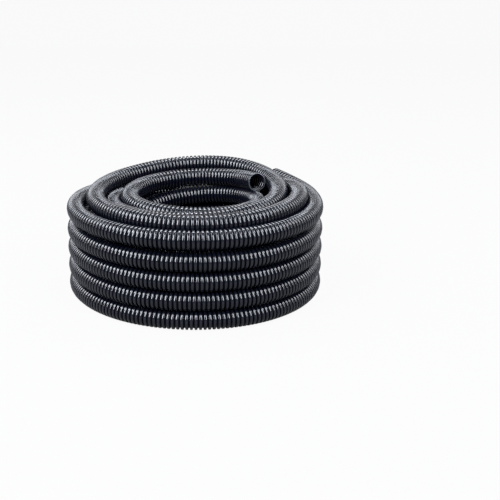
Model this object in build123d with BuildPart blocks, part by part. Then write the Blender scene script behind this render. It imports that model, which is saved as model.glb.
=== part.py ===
"""Coil of corrugated plastic conduit, lying flat, with both cut ends free on top.

Millimetres, +Z up. The origin is on the floor, on the coil's axis, and the inner
end's mouth faces -Y. Angles run anticlockwise from +X as seen from above.
"""

import os
from math import cos, pi, radians, sin, tan

from build123d import *

# The conduit is a thin-walled tube of round waves, each a broad crest and a valley.
outer_diameter = 25.0
wall = 0.7
wave_pitch = 5.45
wave_depth = 2.3
crest_top_width = 2.4
crest_foot_width = 3.8

# The coil lies in layers of turns side by side. Side by side the turns are pressed
# together by the squeeze, and the layers lie a small gap apart.
coil_radius = 159.0
turns_across = 4
turn_squeeze = 0.4
turned_layers = 4
layer_gap = 0.6

# The free inner end is straight, shows its waves and is open at the mouth, which
# reaches this far past the coil's middle.
mouth_rings = 4
mouth_reach = 12.0
mouth_blind_bore = 12.0
mouth_run = 22.0
tube_joint = 3.0

# The outer end is cut square and bored to this depth.
outer_end_bore = 15.0

# A plain round turn is drawn with this many flat sides, whose corners are on the true circle.
section_sides = 12

# A loose turn's route is a polyline with this angle between its points, and each
# arc's tangents take up this share of the shorter run beside it.
route_step = 22.5
arc_share = 0.45

# Places in the coil are given in turns in from the outermost column and in layers up
# from the lowest. The turned stack's top is cut in ledges under the loose turns, and
# each ledge starts at this place and runs inwards.
side_ledge = (0, 3.75)
top_ledge = (0.43, 4.14)
eye_ledge = (turns_across - 1, 3.36)

# The mouth's own place, and the stations of the loose turns with their angles in degrees.
mouth_station = (2.93, 4.98)
outer_turn = [
    (85, 0.65, 3.44),
    (130, 0.08, 3.90),
    (160, 0, 4.02),
    (340, 0, 4.08),
    (362, 0, 4.25),
    (385, 0.06, 4.49),
]
crossing_turn = [
    (140, 1.89, 3.98),
    (250, 1.89, 4.37),
    (340, 1.83, 4.88),
    (385, 1.52, 4.98),
    (430, 1.38, 4.98),
    (475, 1.15, 4.75),
    (520, 0.98, 4.64),
    (610, 0.87, 4.57),
    (655, 0.83, 4.61),
    (700, 0.79, 4.72),
    (715, 0.91, 4.65),
    (730, 1.14, 4.22),
    (750, 1.42, 3.67),
]
inner_turn = [
    (39, 2.52, 4.92),
    (58, 2.46, 4.84),
    (78, 2.46, 4.74),
    (97, 2.52, 4.67),
    (117, 2.65, 4.60),
    (140, 2.78, 4.53),
    (160, 2.87, 4.47),
    (250, 2.97, 4.29),
    (300, 2.99, 4.16),
    (340, 3.00, 3.96),
    (385, 3.00, 3.71),
    (430, 3.00, 3.49),
    (480, 3.00, 3.32),
    (520, 2.93, 3.32),
    (560, 2.40, 3.42),
]

tube_radius = outer_diameter / 2
bore_radius = tube_radius - wave_depth - wall
side_reach = tube_radius * cos(pi / section_sides)
turn_spacing = outer_diameter - turn_squeeze
turn_rise = outer_diameter + layer_gap


def column(turns):
    """Return the radius of a place this many turns in from the outermost column."""
    return coil_radius - turn_spacing * turns


def level(layers):
    """Return the height of a place this many layers up from the lowest."""
    return side_reach + turn_rise * layers


def turn_section():
    """Draw the outline of a plain turn, with a flat side towards each of its plane's axes."""
    RegularPolygon(tube_radius, section_sides, rotation=180 / section_sides)


def between(stations, angle):
    """Return the turns in and layers up at an angle, in line between its two stations."""
    for (a0, t0, l0), (a1, t1, l1) in zip(stations, stations[1:]):
        if a0 <= angle <= a1:
            share = (angle - a0) / (a1 - a0)
            return t0 + share * (t1 - t0), l0 + share * (l1 - l0)
    return stations[-1][1:]


def turn_points(stations):
    """Return a loose turn's points, evenly spaced in angle from first to last station."""
    first = stations[0][0]
    last = stations[-1][0]
    steps = round((last - first) / route_step)
    points = []
    for step in range(steps + 1):
        angle = first + (last - first) * step / steps
        turns, layers = between(stations, angle)
        radius = column(turns)
        points.append(Vector(radius * cos(radians(angle)), radius * sin(radians(angle)), level(layers)))
    return points


def arc_radii(points):
    """Return the radius of the arc at each inner point, as large as its two runs allow."""
    radii = []
    for before, here, after in zip(points, points[1:], points[2:]):
        run_in = here - before
        run_out = after - here
        turned = radians(run_in.get_angle(run_out))
        shorter = min(run_in.length, run_out.length)
        radii.append(arc_share * shorter / tan(turned / 2))
    return radii


def report_tube(name, path, radii, solid):
    """Print a tube's arc radii, and its volume beside its section times its length."""
    length = sum(edge.length for edge in path.edges())
    section = section_sides * tube_radius**2 * sin(2 * pi / section_sides) / 2
    print(
        f"{name}: length {length:.0f} mm, arc radii {min(radii):.0f} to {max(radii):.0f} mm,"
        f" volume {solid.volume:.0f}, section times length {section * length:.0f} mm3"
    )


# The turned stack, with the round turns showing outside, in the eye and underneath. Its
# core fills the space between them out to the corners beside each turn's outermost side.
core_reach = tube_radius * cos(3 * pi / section_sides)
outer_wall = column(side_ledge[0]) + core_reach
eye_wall = column(eye_ledge[0]) - core_reach
core_floor = side_reach - core_reach
with BuildPart() as stack:
    with BuildSketch(Plane.XZ) as stack_profile:
        with BuildLine():
            Polyline(
                (eye_wall, core_floor),
                (outer_wall, core_floor),
                (outer_wall, level(side_ledge[1])),
                (column(top_ledge[0]), level(side_ledge[1])),
                (column(top_ledge[0]), level(top_ledge[1])),
                (column(eye_ledge[0]), level(top_ledge[1])),
                (column(eye_ledge[0]), level(eye_ledge[1])),
                (eye_wall, level(eye_ledge[1])),
                close=True,
            )
        make_face()
        with Locations([(coil_radius, level(layer)) for layer in range(turned_layers)]):
            turn_section()
        with Locations([(column(turns_across - 1), level(layer)) for layer in range(turned_layers)]):
            turn_section()
        with Locations([(column(turn), level(0)) for turn in range(1, turns_across - 1)]):
            turn_section()
    revolve(axis=Axis.Z)

# The outer turn climbs out of the stack, runs round it and ends in the outer cut.
outer_points = turn_points(outer_turn)
outer_radii = arc_radii(outer_points)
with BuildPart() as outer_loop:
    with BuildLine() as outer_path:
        FilletPolyline(*outer_points, radius=outer_radii)
    with BuildSketch(Plane(origin=outer_path.line @ 0, z_dir=outer_path.line % 0)):
        turn_section()
    sweep()
report_tube("outer turn", outer_path.line, outer_radii, outer_loop.part)

# The crossing turn rises over the stack and passes outwards over its neighbour.
crossing_points = turn_points(crossing_turn)
crossing_radii = arc_radii(crossing_points)
with BuildPart() as crossing_loop:
    with BuildLine() as crossing_path:
        FilletPolyline(*crossing_points, radius=crossing_radii)
    with BuildSketch(Plane(origin=crossing_path.line @ 0, z_dir=crossing_path.line % 0)):
        turn_section()
    sweep()
report_tube("crossing turn", crossing_path.line, crossing_radii, crossing_loop.part)

# The inner turn starts at the waves of the free end and winds down into the eye.
mouth_side = column(mouth_station[0])
mouth_height = level(mouth_station[1])
waves_length = (mouth_rings - 0.5) * wave_pitch
waves_end = waves_length - mouth_reach
inner_points = turn_points(inner_turn)
inner_points.insert(0, Vector(mouth_side, waves_end + mouth_run, mouth_height))
inner_points.insert(0, Vector(mouth_side, waves_end, mouth_height))
inner_radii = arc_radii(inner_points)
with BuildPart() as inner_loop:
    with BuildLine() as inner_path:
        FilletPolyline(*inner_points, radius=inner_radii)
    with BuildSketch(Plane(origin=inner_path.line @ 0, z_dir=inner_path.line % 0)):
        turn_section()
    sweep()
report_tube("inner turn", inner_path.line, inner_radii, inner_loop.part)


def wave_points(valley_radius):
    """Return one side of the waves from the mouth inwards, as points along and off the axis.

    The mouth is cut through the middle of a crest, and the last valley runs on into the tube.
    """
    crest_radius = valley_radius + wave_depth
    points = [(0, crest_radius)]
    for ring in range(mouth_rings):
        middle = ring * wave_pitch
        if ring > 0:
            points.append((middle - crest_foot_width / 2, valley_radius))
            points.append((middle - crest_top_width / 2, crest_radius))
        points.append((middle + crest_top_width / 2, crest_radius))
        points.append((middle + crest_foot_width / 2, valley_radius))
    points.append((waves_length + tube_joint, valley_radius))
    return points


# The free end's waves are turned about the mouth's axis. In this plane X runs inwards
# from the mouth and Y outwards from the axis.
mouth = Plane(origin=(mouth_side, -mouth_reach, mouth_height), x_dir=(0, 1, 0), z_dir=(1, 0, 0))
with BuildPart() as free_end:
    with BuildSketch(mouth):
        with BuildLine():
            Polyline(*wave_points(bore_radius + wall), (waves_length + tube_joint, 0), (0, 0), close=True)
        make_face()
    revolve(axis=Axis(mouth.origin, mouth.x_dir))
with BuildPart() as free_end_bore:
    with BuildSketch(mouth):
        with BuildLine():
            Polyline(*wave_points(bore_radius), (waves_length + tube_joint, 0), (0, 0), close=True)
        make_face()
    revolve(axis=Axis(mouth.origin, mouth.x_dir))
    with BuildSketch(Plane(origin=mouth.origin + mouth.x_dir * waves_length, z_dir=mouth.x_dir)):
        Circle(bore_radius)
    extrude(amount=mouth_blind_bore)

# The outer end's cut face looks along its route.
outer_cut = Plane(origin=outer_path.line @ 1, z_dir=outer_path.line % 1)

# The whole coil is one piece of conduit.
with BuildPart() as conduit_coil:
    add(stack.part)
    add(outer_loop.part)
    add(crossing_loop.part)
    add(inner_loop.part)
    add(free_end.part)
    add(free_end_bore.part, mode=Mode.SUBTRACT)
    with BuildSketch(outer_cut):
        Circle(bore_radius)
    extrude(amount=-outer_end_bore, mode=Mode.SUBTRACT)

os.makedirs("parts", exist_ok=True)
conduit_coil.part.label = "conduit_coil"
export_step(conduit_coil.part, "parts/conduit_coil.step")
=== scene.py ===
"""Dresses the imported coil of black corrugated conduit, in metres, in the part's own frame.

The coil is one conduit. Its route starts at the open inner end, winds down the eye,
up the third column, out over the top, down the second column and up the outside to
the other cut end. Each piece is a stretch of that one route.
"""

import logging
import math
from dataclasses import dataclass
from enum import Enum

import bpy
import numpy as np
from mathutils import Matrix


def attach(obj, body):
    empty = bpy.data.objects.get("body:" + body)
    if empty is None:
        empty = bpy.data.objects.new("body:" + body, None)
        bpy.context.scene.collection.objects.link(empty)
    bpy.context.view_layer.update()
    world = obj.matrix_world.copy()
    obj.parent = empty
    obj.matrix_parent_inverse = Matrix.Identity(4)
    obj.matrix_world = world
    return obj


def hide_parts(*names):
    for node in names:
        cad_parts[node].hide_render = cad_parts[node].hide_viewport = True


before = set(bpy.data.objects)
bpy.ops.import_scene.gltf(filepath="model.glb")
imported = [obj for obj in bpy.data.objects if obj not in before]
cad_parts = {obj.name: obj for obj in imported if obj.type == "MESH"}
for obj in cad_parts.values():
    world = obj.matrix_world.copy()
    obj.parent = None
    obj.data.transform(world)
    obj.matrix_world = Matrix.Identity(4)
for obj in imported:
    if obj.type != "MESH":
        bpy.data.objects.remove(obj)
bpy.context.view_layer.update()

LOG = logging.getLogger("conduit_coil")
MM = 0.001
TURN = 360.0

# The chart on each piece: metres along the conduit, and the share of the way around it.
CHART = "along_and_around"

Stations = tuple[tuple[float, float, float], ...]
Colour = tuple[float, float, float]
Value = float | Colour | bpy.types.NodeSocket

WHITE: Colour = (1.0, 1.0, 1.0)


class Detail(Enum):
    """How finely a stretch is meshed.

    Each has the number of places around the tube, and half a ring from its crest
    down: shares of the pitch from the crest's middle, each with a share of the
    wave's depth.
    """

    SHOWN = (21, ((0.2, 1.0), (0.27, 0.87), (0.3, 0.55), (0.36, 0.0)))
    HIDDEN = (12, ((0.2, 1.0), (0.36, 0.0)))

    @property
    def sides(self) -> int:
        """The number of places around the tube."""
        return self.value[0]

    @property
    def outline(self) -> np.ndarray:
        """One ring from valley to valley, as shares of the pitch and of the wave's depth."""
        half = np.array(self.value[1])
        return np.vstack((half[::-1] * (-1.0, 1.0), half))


@dataclass(frozen=True)
class Conduit:
    """The conduit's own section: a thin wall pressed into round waves."""

    diameter: float = 25.0 * MM
    wall: float = 0.7 * MM
    pitch: float = 5.45 * MM
    depth: float = 2.3 * MM

    def ring(self, detail: Detail) -> tuple[np.ndarray, np.ndarray]:
        """Give one ring's outline, from valley over crest to valley.

        Args:
            detail: how finely the stretch is meshed.

        Returns:
            Places along the ring as shares of the pitch from its crest's middle, and
            the outer radius there: valley radius plus the share of the wave's depth.
        """
        outline = detail.outline
        radii = self.diameter / 2 - self.depth * (1.0 - outline[:, 1])
        return outline[:, 0], radii


@dataclass(frozen=True)
class Column:
    """One column of turns, level for half of each turn and stepping at the back."""

    radius: float
    first_angle: float
    heights: tuple[float, ...]

    def stations(self) -> Stations:
        """Give the column's stations: each level starts and ends half a turn apart.

        Returns:
            The stations in order along the conduit.
        """
        found = []
        for turn, height in enumerate(self.heights):
            start = self.first_angle + TURN * turn
            found.append((start, self.radius, height))
            found.append((start + TURN / 2, self.radius, height))
        return tuple(found)


@dataclass(frozen=True)
class Route:
    """The conduit's whole route, as stations of angle, centreline radius and height.

    Angles are in degrees and run on from turn to turn. Radii and heights are in
    millimetres. Each level of a column starts at the level_start angle.
    """

    levels: tuple[float, ...] = (12.5, 37.0, 62.0, 87.3)
    inner_radius: float = 85.5
    third_radius: float = 110.0
    second_radius: float = 134.5
    outer_radius: float = 159.0
    level_start: float = 160.0
    step: float = 22.5
    inner_end: Stations = (
        (-7.86, 87.75, 139.6),
        (8.0, 87.2, 136.6),
        (25.0, 87.4, 133.6),
        (40.0, 87.8, 131.6),
        (70.0, 89.5, 128.8),
        (100.0, 89.5, 126.6),
        (160.0, 87.0, 125.0),
        (250.0, 86.0, 122.5),
        (300.0, 85.5, 119.5),
        (340.0, 85.0, 116.5),
        (380.0, 85.0, 111.5),
        (430.0, 85.0, 104.0),
        (480.0, 85.2, 95.5),
    )
    crossing: Stations = (
        (115.0, 110.0, 108.5),
        (145.0, 110.0, 115.0),
        (250.0, 110.8, 123.8),
        (320.0, 110.8, 130.0),
        (340.0, 111.3, 133.8),
        (365.0, 115.0, 137.0),
        (385.0, 119.5, 139.5),
        (405.0, 123.0, 141.3),
        (430.0, 126.3, 139.5),
        (455.0, 128.8, 135.0),
        (475.0, 130.0, 130.5),
        (500.0, 131.3, 129.3),
        (520.0, 132.5, 128.3),
        (610.0, 137.5, 127.0),
        (670.0, 138.8, 129.5),
        (700.0, 139.0, 131.3),
        (715.0, 138.8, 128.8),
        (730.0, 138.0, 122.5),
        (745.0, 137.5, 112.5),
        (790.0, 135.0, 94.0),
    )
    outer_end: Stations = (
        (100.0, 159.0, 102.0),
        (140.0, 159.0, 112.5),
        (160.0, 159.1, 115.0),
        (250.0, 159.1, 115.0),
        (320.0, 159.1, 115.5),
        (340.0, 159.1, 117.0),
        (360.0, 158.5, 119.5),
        (380.0, 157.5, 124.3),
        (385.0, 157.2, 125.8),
    )

    def passes(self) -> dict[str, Stations]:
        """Give the stations of each pass, with angles that run on from pass to pass.

        Returns:
            The passes by name, in order along the conduit.
        """
        down = tuple(reversed(self.levels))
        level_end = self.level_start - TURN / 2
        inner = Column(self.inner_radius, self.level_start + TURN, down)
        third_start = inner.stations()[-1][0] + TURN / 2
        third = Column(self.third_radius, third_start, self.levels)
        crossing_turns = third.stations()[-1][0] - level_end
        second_start = crossing_turns + self.level_start + 2 * TURN
        second = Column(self.second_radius, second_start, down)
        outer_start = second.stations()[-1][0] + TURN / 2
        outer = Column(self.outer_radius, outer_start, self.levels)
        outer_turns = outer.stations()[-1][0] - level_end
        return {
            "inner": self.inner_end + inner.stations(),
            "third": third.stations(),
            "crossing": self.shifted(self.crossing, crossing_turns),
            "second": second.stations(),
            "outer": outer.stations(),
            "outer_end": self.shifted(self.outer_end, outer_turns),
        }

    @staticmethod
    def shifted(stations: Stations, angle: float) -> Stations:
        """Give the stations turned on by an angle in degrees."""
        return tuple((a + angle, r, z) for a, r, z in stations)

    def control_points(self) -> np.ndarray:
        """Give the spline's control points, sixteen to a turn.

        Radius and height are in line between the stations. An order 3 spline at a
        control point has three quarters of that point and an eighth of each of its
        neighbours, so it runs inside its corners. The points stand that much
        further out.

        Returns:
            An array of points, in metres.
        """
        stations = np.array([s for part in self.passes().values() for s in part])
        own_share = 0.75
        inside = own_share + (1.0 - own_share) * math.cos(math.radians(self.step))
        first, last = stations[0, 0], stations[-1, 0]
        count = round((last - first) / self.step)
        angle = np.linspace(first, last, count + 1)
        radius = np.interp(angle, stations[:, 0], stations[:, 1]) * MM
        height = np.interp(angle, stations[:, 0], stations[:, 2]) * MM
        radius[1:-1] /= inside
        turned = np.radians(angle)
        return np.column_stack((radius * np.cos(turned), radius * np.sin(turned), height))


class Centreline:
    """The route as Blender's own spline runs it, measured along its length."""

    resolution: int = 8

    def __init__(self, route: Route) -> None:
        """Draw the spline and read its points.

        Args:
            route: the conduit's route.
        """
        controls = route.control_points()
        curve = bpy.data.curves.new("conduit_route", "CURVE")
        curve.dimensions = "3D"
        curve.resolution_u = self.resolution
        spline = curve.splines.new("NURBS")
        spline.points.add(len(controls) - 1)
        weighted = np.column_stack((controls, np.ones(len(controls))))
        spline.points.foreach_set("co", weighted.ravel())
        spline.order_u = 3
        spline.use_endpoint_u = True
        holder = bpy.data.objects.new("conduit_route", curve)
        bpy.context.scene.collection.objects.link(holder)
        line = bpy.data.meshes.new_from_object(holder)
        flat = np.empty(len(line.vertices) * 3)
        line.vertices.foreach_get("co", flat)
        self.points = flat.reshape(-1, 3)
        bpy.data.meshes.remove(line)
        bpy.data.objects.remove(holder)
        bpy.data.curves.remove(curve)
        steps = np.linalg.norm(np.diff(self.points, axis=0), axis=1)
        self.travel = np.concatenate(([0.0], np.cumsum(steps)))
        self.length = float(self.travel[-1])
        ahead = np.gradient(self.points, self.travel, axis=0)
        self.tangents = ahead / np.linalg.norm(ahead, axis=1)[:, None]
        around = np.unwrap(np.arctan2(self.points[:, 1], self.points[:, 0]))
        self.angles = np.degrees(around)

    def at(self, travel: np.ndarray) -> tuple[np.ndarray, np.ndarray]:
        """Give the points and directions at distances along the route.

        Args:
            travel: the distances, in metres.

        Returns:
            The points, and the unit tangents there.
        """
        place = np.column_stack([np.interp(travel, self.travel, c) for c in self.points.T])
        tangent = np.column_stack([np.interp(travel, self.travel, c) for c in self.tangents.T])
        return place, tangent / np.linalg.norm(tangent, axis=1)[:, None]

    def travel_at(self, angle: float) -> float:
        """Give the distance along the route at an angle in degrees."""
        return float(np.interp(angle, self.angles, self.travel))


class Sweep:
    """A tube surface carried along the centreline, kept as arrays until it is a mesh."""

    def __init__(self, line: Centreline, sides: int) -> None:
        """Start an empty surface.

        Args:
            line: the conduit's centreline.
            sides: the number of places around the tube.
        """
        self.line = line
        self.sides = sides
        self.vertices: list[np.ndarray] = []
        self.faces: list[np.ndarray] = []
        self.charts: list[np.ndarray] = []
        self.count = 0

    def rows(self, travel: np.ndarray, radii: np.ndarray) -> np.ndarray:
        """Place one circle of points at each distance along the route.

        A point is the centre plus the radius times (cosine of its angle outwards
        from the coil's axis plus sine of its angle upwards).

        Args:
            travel: distances along the route, in metres.
            radii: the tube's radius at each, in metres.

        Returns:
            The index of each point, one row to a circle.
        """
        centre, tangent = self.line.at(travel)
        outward = np.cross(tangent, (0.0, 0.0, 1.0))
        outward /= np.linalg.norm(outward, axis=1)[:, None]
        upward = np.cross(outward, tangent)
        turned = np.linspace(0.0, 2.0 * math.pi, self.sides, endpoint=False)
        across = np.cos(turned)[None, :, None] * outward[:, None]
        raised = np.sin(turned)[None, :, None] * upward[:, None]
        points = centre[:, None] + radii[:, None, None] * (across + raised)
        index = self.count + np.arange(points.shape[0] * self.sides).reshape(-1, self.sides)
        self.vertices.append(points.reshape(-1, 3))
        self.count += index.size
        return index

    def skin(self, index: np.ndarray, along: np.ndarray, inwards: bool = False) -> None:
        """Join neighbouring circles with four-sided faces, closed around the tube.

        Args:
            index: the circles' points, one row to a circle.
            along: each circle's place along the chart.
            inwards: whether the faces look at the centreline.
        """
        here, after = index[:-1], index[1:]
        quads = np.stack((here, np.roll(here, -1, 1), np.roll(after, -1, 1), after), axis=-1)
        step = 1.0 / self.sides
        near = np.broadcast_to(along[:-1, None], here.shape)
        far = np.broadcast_to(along[1:, None], here.shape)
        around = np.broadcast_to(np.arange(self.sides) / self.sides, here.shape)
        chart = np.stack(
            (
                np.stack((near, around), -1),
                np.stack((near, around + step), -1),
                np.stack((far, around + step), -1),
                np.stack((far, around), -1),
            ),
            axis=2,
        )
        if inwards:
            quads, chart = quads[..., ::-1], chart[..., ::-1, :]
        self.faces.append(quads.reshape(-1, 4))
        self.charts.append(chart.reshape(-1, 2))

    def mesh(self, name: str) -> bpy.types.Object:
        """Make the Blender mesh, with smooth faces and its chart of length and angle.

        Args:
            name: the piece's name.

        Returns:
            The mesh object, linked to the scene.
        """
        points = np.concatenate(self.vertices)
        faces = np.concatenate(self.faces)
        chart = np.concatenate(self.charts)
        data = bpy.data.meshes.new(name)
        data.vertices.add(len(points))
        data.vertices.foreach_set("co", points.ravel())
        data.loops.add(faces.size)
        data.loops.foreach_set("vertex_index", faces.ravel())
        data.polygons.add(len(faces))
        data.polygons.foreach_set("loop_start", np.arange(len(faces)) * faces.shape[1])
        data.uv_layers.new(name=CHART).data.foreach_set("uv", chart.ravel())
        data.update(calc_edges=True)
        data.polygons.foreach_set("use_smooth", np.ones(len(faces), bool))
        piece = bpy.data.objects.new(name, data)
        bpy.context.scene.collection.objects.link(piece)
        return piece


class Mix(Enum):
    """What a mix node mixes: its data type, its three inputs' numbers and its output's."""

    NUMBERS = ("FLOAT", (0, 2, 3), 0)
    COLOURS = ("RGBA", (0, 6, 7), 2)


class Tree:
    """The nodes of a material or world, with a method for each kind that is used."""

    def __init__(self, owner: bpy.types.Material | bpy.types.World) -> None:
        """Turn the owner's nodes on.

        Args:
            owner: the material or world.
        """
        owner.use_nodes = True
        self.nodes = owner.node_tree.nodes
        self.links = owner.node_tree.links

    def feed(self, socket: bpy.types.NodeSocket, value: Value) -> None:
        """Link another node's output to an input, or write a number or a colour there.

        Args:
            socket: the input.
            value: the output, the number or the colour.
        """
        if isinstance(value, bpy.types.NodeSocket):
            self.links.new(value, socket)
        elif isinstance(value, tuple):
            socket.default_value = (*value, 1.0)
        else:
            socket.default_value = value

    def math(self, operation: str, first: Value, second: Value) -> bpy.types.NodeSocket:
        """Work out one operation on two numbers.

        Args:
            operation: the operation's name in Blender.
            first: the first number.
            second: the second number.

        Returns:
            The result.
        """
        made = self.nodes.new("ShaderNodeMath")
        made.operation = operation
        self.feed(made.inputs[0], first)
        self.feed(made.inputs[1], second)
        return made.outputs["Value"]

    def mix(self, kind: Mix, mark: Value, plain: Value, marked: Value) -> bpy.types.NodeSocket:
        """Mix two numbers or colours.

        Args:
            kind: what is mixed.
            mark: 0 where the plain one shows and 1 where the marked one does.
            plain: the first number or colour.
            marked: the second number or colour.

        Returns:
            The mixed number or colour.
        """
        data_type, inputs, output = kind.value
        made = self.nodes.new("ShaderNodeMix")
        made.data_type = data_type
        for number, value in zip(inputs, (mark, plain, marked)):
            self.feed(made.inputs[number], value)
        return made.outputs[output]

    def ramp(
        self,
        value: Value,
        span: tuple[float, float] = (0.0, 1.0),
        result: tuple[float, float] = (0.0, 1.0),
        smooth: bool = False,
    ) -> bpy.types.NodeSocket:
        """Carry a value's span over to another one, and stop at both ends.

        Args:
            value: the value.
            span: where the ramp starts and ends.
            result: what it gives there.
            smooth: whether the ramp eases in and out.

        Returns:
            The ramp's result.
        """
        made = self.nodes.new("ShaderNodeMapRange")
        if smooth:
            made.interpolation_type = "SMOOTHSTEP"
        self.feed(made.inputs["Value"], value)
        for name, number in zip(("From Min", "From Max", "To Min", "To Max"), span + result):
            self.feed(made.inputs[name], number)
        return made.outputs["Result"]

    def noise(self, place: Value, scale: float, detail: float) -> bpy.types.NodeSocket:
        """Add a noise texture.

        Args:
            place: the coordinates.
            scale: its number of clouds to a metre.
            detail: its number of finer layers.

        Returns:
            The noise, around one half.
        """
        made = self.nodes.new("ShaderNodeTexNoise")
        self.feed(made.inputs["Vector"], place)
        self.feed(made.inputs["Scale"], scale)
        self.feed(made.inputs["Detail"], detail)
        return made.outputs["Fac"]

    def bump(self, height: Value, tall: float, under: Value | None = None) -> bpy.types.NodeSocket:
        """Tilt the surface by a height, on top of another bump if there is one.

        Args:
            height: the height, from 0 to 1.
            tall: what a height of 1 is, in metres.
            under: the other bump's result.

        Returns:
            The tilted normal.
        """
        made = self.nodes.new("ShaderNodeBump")
        self.feed(made.inputs["Strength"], 1.0)
        self.feed(made.inputs["Distance"], tall)
        self.feed(made.inputs["Height"], height)
        if under is not None:
            self.feed(made.inputs["Normal"], under)
        return made.outputs["Normal"]

    def chart(self) -> tuple[bpy.types.NodeSocket, bpy.types.NodeSocket]:
        """Read the chart of length and angle.

        Returns:
            The place along the conduit and the share of the way around it.
        """
        made = self.nodes.new("ShaderNodeUVMap")
        made.uv_map = CHART
        split = self.nodes.new("ShaderNodeSeparateXYZ")
        self.feed(split.inputs["Vector"], made.outputs["UV"])
        return split.outputs["X"], split.outputs["Y"]


@dataclass(frozen=True)
class BlackPlastic:
    """The conduit's semi-gloss black plastic, drawn from a die in one colour.

    The edges of the groove are distances from the crest's middle, in pitches, and
    the seam's width is a share of the way around.
    """

    colour: Colour = (0.0015, 0.0018, 0.0042)
    worn_colour: Colour = (0.003, 0.0035, 0.0065)
    worn_clouds: tuple[float, float] = (0.35, 0.75)
    refraction: float = 1.5
    roughness: tuple[float, float] = (0.08, 0.14)
    rough_clouds: tuple[float, float] = (0.3, 0.7)
    # Painted shade: the valleys' darker colour stands in for the shade that falls in them.
    groove_shade_colour: Colour = (0.0015, 0.0018, 0.0035)
    groove_roughness: float = 0.5
    groove_edges: tuple[float, float] = (0.27, 0.31)
    # Painted shade: this specular tint almost cancels the valleys' reflection, standing in for the shade
    # there.
    groove_reflection_shade: Colour = (0.03, 0.03, 0.03)
    # Painted highlight: the cut lip's light grey stands in for the light its rim catches. Its rougher skin
    # is the cut's own.
    cut_lip_highlight_colour: Colour = (0.06, 0.064, 0.072)
    cut_roughness: float = 0.4
    cloud_scale: float = 38.0
    cloud_detail: float = 6.0
    skin_scale: float = 900.0
    skin_detail: float = 3.0
    skin_height: float = 0.008 * MM
    seam_spacing: float = 0.25
    seam_width: float = 0.012
    seam_height: float = 0.09 * MM

    def material(self, section: Conduit) -> bpy.types.Material:
        """Build the node tree: clouded colour and gloss, valleys with painted shade and a rougher skin,
        cut lips with a painted highlight, skin and seams.

        Args:
            section: the conduit's section, whose rings the valleys follow.

        Returns:
            The material.
        """
        made = bpy.data.materials.new("black_conduit_plastic")
        tree = Tree(made)
        surface = tree.nodes["Principled BSDF"].inputs
        tree.feed(surface["IOR"], self.refraction)
        place = tree.nodes.new("ShaderNodeTexCoord").outputs["Object"]
        along, around = tree.chart()
        clouds = tree.noise(place, self.cloud_scale, self.cloud_detail)
        groove = self.groove(tree, along, section)
        cut = tree.math("LESS_THAN", along, 0.0)

        worn = tree.ramp(clouds, self.worn_clouds)
        colour = tree.mix(Mix.COLOURS, worn, self.colour, self.worn_colour)
        # Painted shade: the valleys are darker.
        colour = tree.mix(Mix.COLOURS, groove, colour, self.groove_shade_colour)
        # Painted highlight: the cut lip is lighter grey.
        colour = tree.mix(Mix.COLOURS, cut, colour, self.cut_lip_highlight_colour)
        tree.feed(surface["Base Color"], colour)
        # Painted shade: the reflection is nearly gone in the valleys and stays full on the crests.
        groove_shaded_tint = tree.mix(Mix.COLOURS, groove, WHITE, self.groove_reflection_shade)
        tree.feed(surface["Specular Tint"], groove_shaded_tint)

        rough = tree.ramp(clouds, self.rough_clouds, self.roughness)
        rough = tree.mix(Mix.NUMBERS, groove, rough, self.groove_roughness)
        rough = tree.mix(Mix.NUMBERS, cut, rough, self.cut_roughness)
        tree.feed(surface["Roughness"], rough)

        skin = tree.noise(place, self.skin_scale, self.skin_detail)
        normal = tree.bump(skin, self.skin_height)
        normal = tree.bump(self.seam(tree, around), self.seam_height, normal)
        tree.feed(surface["Normal"], normal)
        return made

    def groove(self, tree: Tree, along: Value, section: Conduit) -> bpy.types.NodeSocket:
        """Mark the valleys, which get painted shade and a rougher skin.

        Args:
            tree: the material's nodes.
            along: the place along the conduit.
            section: the conduit's section.

        Returns:
            0 on a crest and 1 in a valley.
        """
        half = 0.5
        rings = tree.math("MULTIPLY", along, 1.0 / section.pitch)
        from_valley = tree.math("PINGPONG", rings, half)
        from_crest = tree.math("SUBTRACT", half, from_valley)
        return tree.ramp(from_crest, self.groove_edges, smooth=True)

    def seam(self, tree: Tree, around: Value) -> bpy.types.NodeSocket:
        """Draw the mould's parting line as a ridge on two opposite sides of the tube.

        Args:
            tree: the material's nodes.
            around: the share of the way around the conduit.

        Returns:
            The ridge's height, from 0 to 1.
        """
        place = tree.math("PINGPONG", around, self.seam_spacing)
        edge = self.seam_spacing - self.seam_width
        return tree.ramp(place, (edge, self.seam_spacing), smooth=True)


@dataclass(frozen=True)
class Stretch:
    """One piece of the coil: a stretch of the route between two angles."""

    name: str
    start: float
    end: float
    detail: Detail
    open_start: bool = False
    open_end: bool = False


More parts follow.
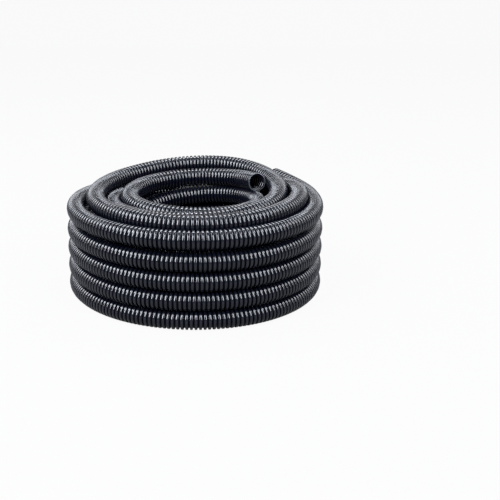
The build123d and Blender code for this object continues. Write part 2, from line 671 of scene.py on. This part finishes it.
class ConduitCoil:
    """The whole coil, cut into stretches that meet in the middle of a valley.

    At a cut end the bore is lined for so many rings and closed there, out of sight.
    A piece's path has a point to each path_step diameters, and no fewer than the
    fewest_points.
    """

    lined_rings: int = 18
    closed_radius: float = 0.1 * MM
    path_step: float = 0.4
    fewest_points: int = 24

    def __init__(self, route: Route, section: Conduit) -> None:
        """Run the route's centreline and plan the stretches.

        Args:
            route: the conduit's route.
            section: the conduit's section.
        """
        self.section = section
        self.line = Centreline(route)
        self.rings = int(self.line.length / section.pitch)
        starts = {name: stations[0][0] for name, stations in route.passes().items()}
        ends = {name: stations[-1][0] for name, stations in route.passes().items()}
        third_foot_end = starts["third"] + TURN / 2
        third_core_end = ends["third"] - TURN / 2
        second_top_end = starts["second"] + TURN
        second_core_end = ends["second"] - TURN / 2
        outer_middle = starts["outer"] + 2 * TURN
        shown, hidden = Detail.SHOWN, Detail.HIDDEN
        self.stretches = (
            Stretch("inner_end_and_eye_turns", starts["inner"], starts["third"], shown, open_start=True),
            Stretch("third_column_foot", starts["third"], third_foot_end, shown),
            Stretch("third_column_core", third_foot_end, third_core_end, hidden),
            Stretch("crossing_turns", third_core_end, starts["second"], shown),
            Stretch("second_column_top", starts["second"], second_top_end, shown),
            Stretch("second_column_core", second_top_end, second_core_end, hidden),
            Stretch("foot_and_lower_outer_turns", second_core_end, outer_middle, shown),
            Stretch("upper_outer_turns_and_end", outer_middle, ends["outer_end"], shown, open_end=True),
        )

    def ring_at(self, angle: float) -> int:
        """Give the number of the ring that starts nearest to an angle."""
        return min(self.rings, max(0, round(self.line.travel_at(angle) / self.section.pitch)))

    def build(self, stretch: Stretch, finish: bpy.types.Material) -> bpy.types.Object:
        """Args:
            stretch: where it starts and ends, and how finely it is meshed.
            finish: the conduit's material.

        Returns:
            The finished piece.
        """
        places, radii = self.section.ring(stretch.detail)
        rings = np.arange(self.ring_at(stretch.start), self.ring_at(stretch.end))
        travel = ((rings[:, None] + 0.5 + places) * self.section.pitch).ravel()
        radius = np.tile(radii, len(rings))
        half = len(places) // 2
        if stretch.open_start:
            travel, radius = travel[half:], radius[half:]
        if stretch.open_end:
            travel, radius = travel[:-half], radius[:-half]
        sweep = Sweep(self.line, stretch.detail.sides)
        outside = sweep.rows(travel, radius)
        sweep.skin(outside, travel)
        for is_open, inwards in ((stretch.open_start, 1), (stretch.open_end, -1)):
            if is_open:
                self.line_bore(sweep, travel[::inwards], radius[::inwards], outside[::inwards])
        piece = sweep.mesh(stretch.name)
        piece.data.materials.append(finish)
        self.declare(piece, travel)
        LOG.info("%s: %d rings, %d faces", stretch.name, len(rings), len(piece.data.polygons))
        return piece

    def line_bore(self, sweep: Sweep, travel: np.ndarray, radius: np.ndarray, outside: np.ndarray) -> None:
        """Add a cut end's lip and the waved inside of the bore, closed out of sight.

        The chart places the lip before the conduit's start, which marks it as cut and gives it the painted
        highlight. It marks the inside's ribs as crests, and all between them as valleys, which get the
        valleys' painted shade.

        Args:
            sweep: the piece's surface.
            travel: the outside's distances, from the cut inwards.
            radius: the outside's radii, from the cut inwards.
            outside: the outside's circles, from the cut inwards.
        """
        reach = self.lined_rings * len(Detail.SHOWN.outline)
        depth, bore = travel[:reach], radius[:reach] - self.section.wall
        inside = sweep.rows(np.append(depth, depth[-1]), np.append(bore, self.closed_radius))
        forwards = depth[-1] > depth[0]
        half_ring = self.section.pitch / 2
        lip = np.vstack((outside[:1], inside[:1]))
        # The lip's place on the chart gives it the cut's painted highlight.
        sweep.skin(lip, np.full(2, -half_ring), inwards=forwards)
        # Painted shade: all of the bore's inside but its ribs is charted as valley, so it is darkened and
        # loses its reflection.
        ribs = np.where(bore < bore.min() + self.section.wall / 2, half_ring, 0.0)
        sweep.skin(inside, np.append(ribs, 0.0), inwards=forwards)

    def declare(self, piece: bpy.types.Object, travel: np.ndarray) -> None:
        """Attach the piece to the root body and hide the coil's part from model.glb. The path along the
        piece is worked out but not passed on.

        Args:
            piece: the piece.
            travel: the distances along the route that it covers, in metres.
        """
        length = float(travel[-1] - travel[0])
        points = max(self.fewest_points, int(length / (self.path_step * self.section.diameter)))
        path = self.line.at(np.linspace(travel[0], travel[-1], points))[0]
        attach(piece, "root")
        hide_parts("conduit_coil")


@dataclass(frozen=True)
class Lamp:
    """A soft box: its place around the coil, its width and height, and how bright its face is.

    The azimuth is in degrees anticlockwise from the camera's side, seen from above. A
    radiance of 1 is that of a white floor under full light.
    """

    name: str
    azimuth: float
    elevation: float
    size: tuple[float, float]
    radiance: float


@dataclass(frozen=True)
class Studio:
    """The pale floor and backdrop, the soft lamps and the camera, placed around the coil."""

    lamps: tuple[Lamp, ...] = (
        Lamp("front_left_box", -42.0, 38.0, (0.7, 1.6), 24.0),
        Lamp("front_right_box", 42.0, 38.0, (0.7, 1.6), 18.0),
        Lamp("left_box", -100.0, 40.0, (0.8, 0.8), 22.0),
        Lamp("right_box", 100.0, 40.0, (0.6, 0.8), 14.0),
        Lamp("back_box", 180.0, 60.0, (1.5, 0.4), 22.0),
    )
    lamp_distance: float = 1.8
    lamp_colour: Colour = (0.88, 0.92, 1.0)
    front_azimuth: float = -110.0
    camera_distance: float = 1354.0 * MM
    camera_elevation: float = 18.16
    target_height: float = 62.5 * MM
    lens: float = 71.5
    sensor_width: float = 36.0
    shift: tuple[float, float] = (0.11, -0.0186)
    seen_distance: float = 50.0
    floor_width: float = 12.0
    backdrop_distance: float = 2.6
    backdrop_height: float = 2.2
    sheet_colour: Colour = (0.14, 0.14, 0.14)
    sheet_glow: float = 0.94
    floor_in_gloss: float = 0.1
    backdrop_in_gloss: float = 1.0
    room_light: float = 0.4

    def polar(self, azimuth: float, elevation: float, distance: float) -> np.ndarray:
        """Give the point at an azimuth from the front, an elevation and a distance.

        Args:
            azimuth: degrees anticlockwise from the camera's side, seen from above.
            elevation: degrees above the horizon.
            distance: metres from the coil's middle.

        Returns:
            The point, in metres.
        """
        turned, raised = math.radians(self.front_azimuth + azimuth), math.radians(elevation)
        flat = distance * math.cos(raised)
        height = self.target_height + distance * math.sin(raised)
        return np.array((flat * math.cos(turned), flat * math.sin(turned), height))

    def aim(self, thing: bpy.types.Object, place: np.ndarray) -> None:
        """Put a lamp or camera at a place, looking at the coil's middle.

        Args:
            thing: the lamp or camera.
            place: its place, in metres.
        """
        middle = np.array((0.0, 0.0, self.target_height))
        away = place - middle
        away /= np.linalg.norm(away)
        level = np.cross((0.0, 0.0, 1.0), away)
        level /= np.linalg.norm(level)
        upward = np.cross(away, level)
        matrix = np.eye(4)
        matrix[:3] = np.column_stack((level, upward, away, place))
        thing.matrix_world = Matrix(matrix.tolist())

    def camera(self) -> None:
        """Make the camera at the photograph's angle, with its framing in the shift."""
        data = bpy.data.cameras.new("photo_camera")
        data.sensor_width = self.sensor_width
        data.lens = self.lens
        data.shift_x, data.shift_y = self.shift
        data.clip_end = self.seen_distance
        holder = bpy.data.objects.new("photo_camera", data)
        bpy.context.scene.collection.objects.link(holder)
        self.aim(holder, self.polar(0.0, self.camera_elevation, self.camera_distance))
        bpy.context.scene.camera = holder

    def hang(self, lamp: Lamp) -> None:
        """Hang a soft box. Its power is its radiance times pi times its face's area.

        Args:
            lamp: the soft box.
        """
        data = bpy.data.lights.new(lamp.name, "AREA")
        data.shape = "RECTANGLE"
        data.size, data.size_y = lamp.size
        data.energy = lamp.radiance * math.pi * lamp.size[0] * lamp.size[1]
        data.color = self.lamp_colour
        holder = bpy.data.objects.new(lamp.name, data)
        bpy.context.scene.collection.objects.link(holder)
        self.aim(holder, self.polar(lamp.azimuth, lamp.elevation, self.lamp_distance))

    def sheet(self, name: str, corners: np.ndarray, in_gloss: float) -> None:
        """Hang or lay a pale sheet that shows nearly white and keeps a soft shadow.

        Args:
            name: the sheet's name.
            corners: its four corners, anticlockwise as seen from its lit side.
            in_gloss: the share of its own white that shows in glossy surfaces.
        """
        data = bpy.data.meshes.new(name)
        data.from_pydata(corners.tolist(), [], [(0, 1, 2, 3)])
        made = bpy.data.materials.new(name)
        tree = Tree(made)
        tree.nodes.remove(tree.nodes["Principled BSDF"])
        paper = tree.nodes.new("ShaderNodeBsdfDiffuse")
        tree.feed(paper.inputs["Color"], self.sheet_colour)
        glow = tree.nodes.new("ShaderNodeEmission")
        rays = tree.nodes.new("ShaderNodeLightPath").outputs
        straight = tree.math("MAXIMUM", rays["Is Camera Ray"], rays["Is Transmission Ray"])
        gloss = tree.math("MULTIPLY", rays["Is Glossy Ray"], in_gloss)
        seen = tree.math("MAXIMUM", straight, gloss)
        both = tree.nodes.new("ShaderNodeMixShader")
        tree.feed(both.inputs[0], tree.math("MULTIPLY", seen, self.sheet_glow))
        tree.feed(both.inputs[1], paper.outputs[0])
        tree.feed(both.inputs[2], glow.outputs[0])
        tree.feed(tree.nodes["Material Output"].inputs["Surface"], both.outputs[0])
        data.materials.append(made)
        piece = bpy.data.objects.new(name, data)
        bpy.context.scene.collection.objects.link(piece)

    def sheets(self) -> None:
        """Lay the floor, and hang the backdrop behind the coil, square to the camera."""
        half = self.floor_width / 2
        square = np.array(((-1, -1, 0), (1, -1, 0), (1, 1, 0), (-1, 1, 0)))
        self.sheet("studio_floor", half * square, self.floor_in_gloss)
        behind = self.polar(180.0, 0.0, self.backdrop_distance) * (1.0, 1.0, 0.0)
        across = np.cross((0.0, 0.0, 1.0), behind / np.linalg.norm(behind)) * half
        up = np.array((0.0, 0.0, self.backdrop_height))
        corners = np.array((behind + across, behind - across, behind - across + up, behind + across + up))
        self.sheet("studio_backdrop", corners, self.backdrop_in_gloss)

    def world(self) -> None:
        """Fill the room with a dim white that shows as white to the camera."""
        made = bpy.data.worlds.new("studio_room")
        tree = Tree(made)
        room = tree.nodes["Background"].inputs
        rays = tree.nodes.new("ShaderNodeLightPath").outputs
        tree.feed(room["Color"], WHITE)
        tree.feed(room["Strength"], tree.ramp(rays["Is Camera Ray"], result=(self.room_light, 1.0)))
        bpy.context.scene.world = made

    def build(self) -> None:
        """Set up the camera, lamps, sheets and room, and the plain view transform."""
        self.camera()
        for lamp in self.lamps:
            self.hang(lamp)
        self.sheets()
        self.world()
        bpy.context.scene.view_settings.view_transform = "Standard"


def main() -> None:
    """Build the studio, then each stretch of the coil in order along the conduit."""
    logging.basicConfig(level=logging.INFO, format="%(name)s: %(message)s")
    Studio().build()
    section = Conduit()
    coil = ConduitCoil(Route(), section)
    LOG.info("the conduit is %.2f m long, in %d rings", coil.line.length, coil.rings)
    finish = BlackPlastic().material(section)
    for stretch in coil.stretches:
        coil.build(stretch, finish)


if __name__ == "__main__":
    main()
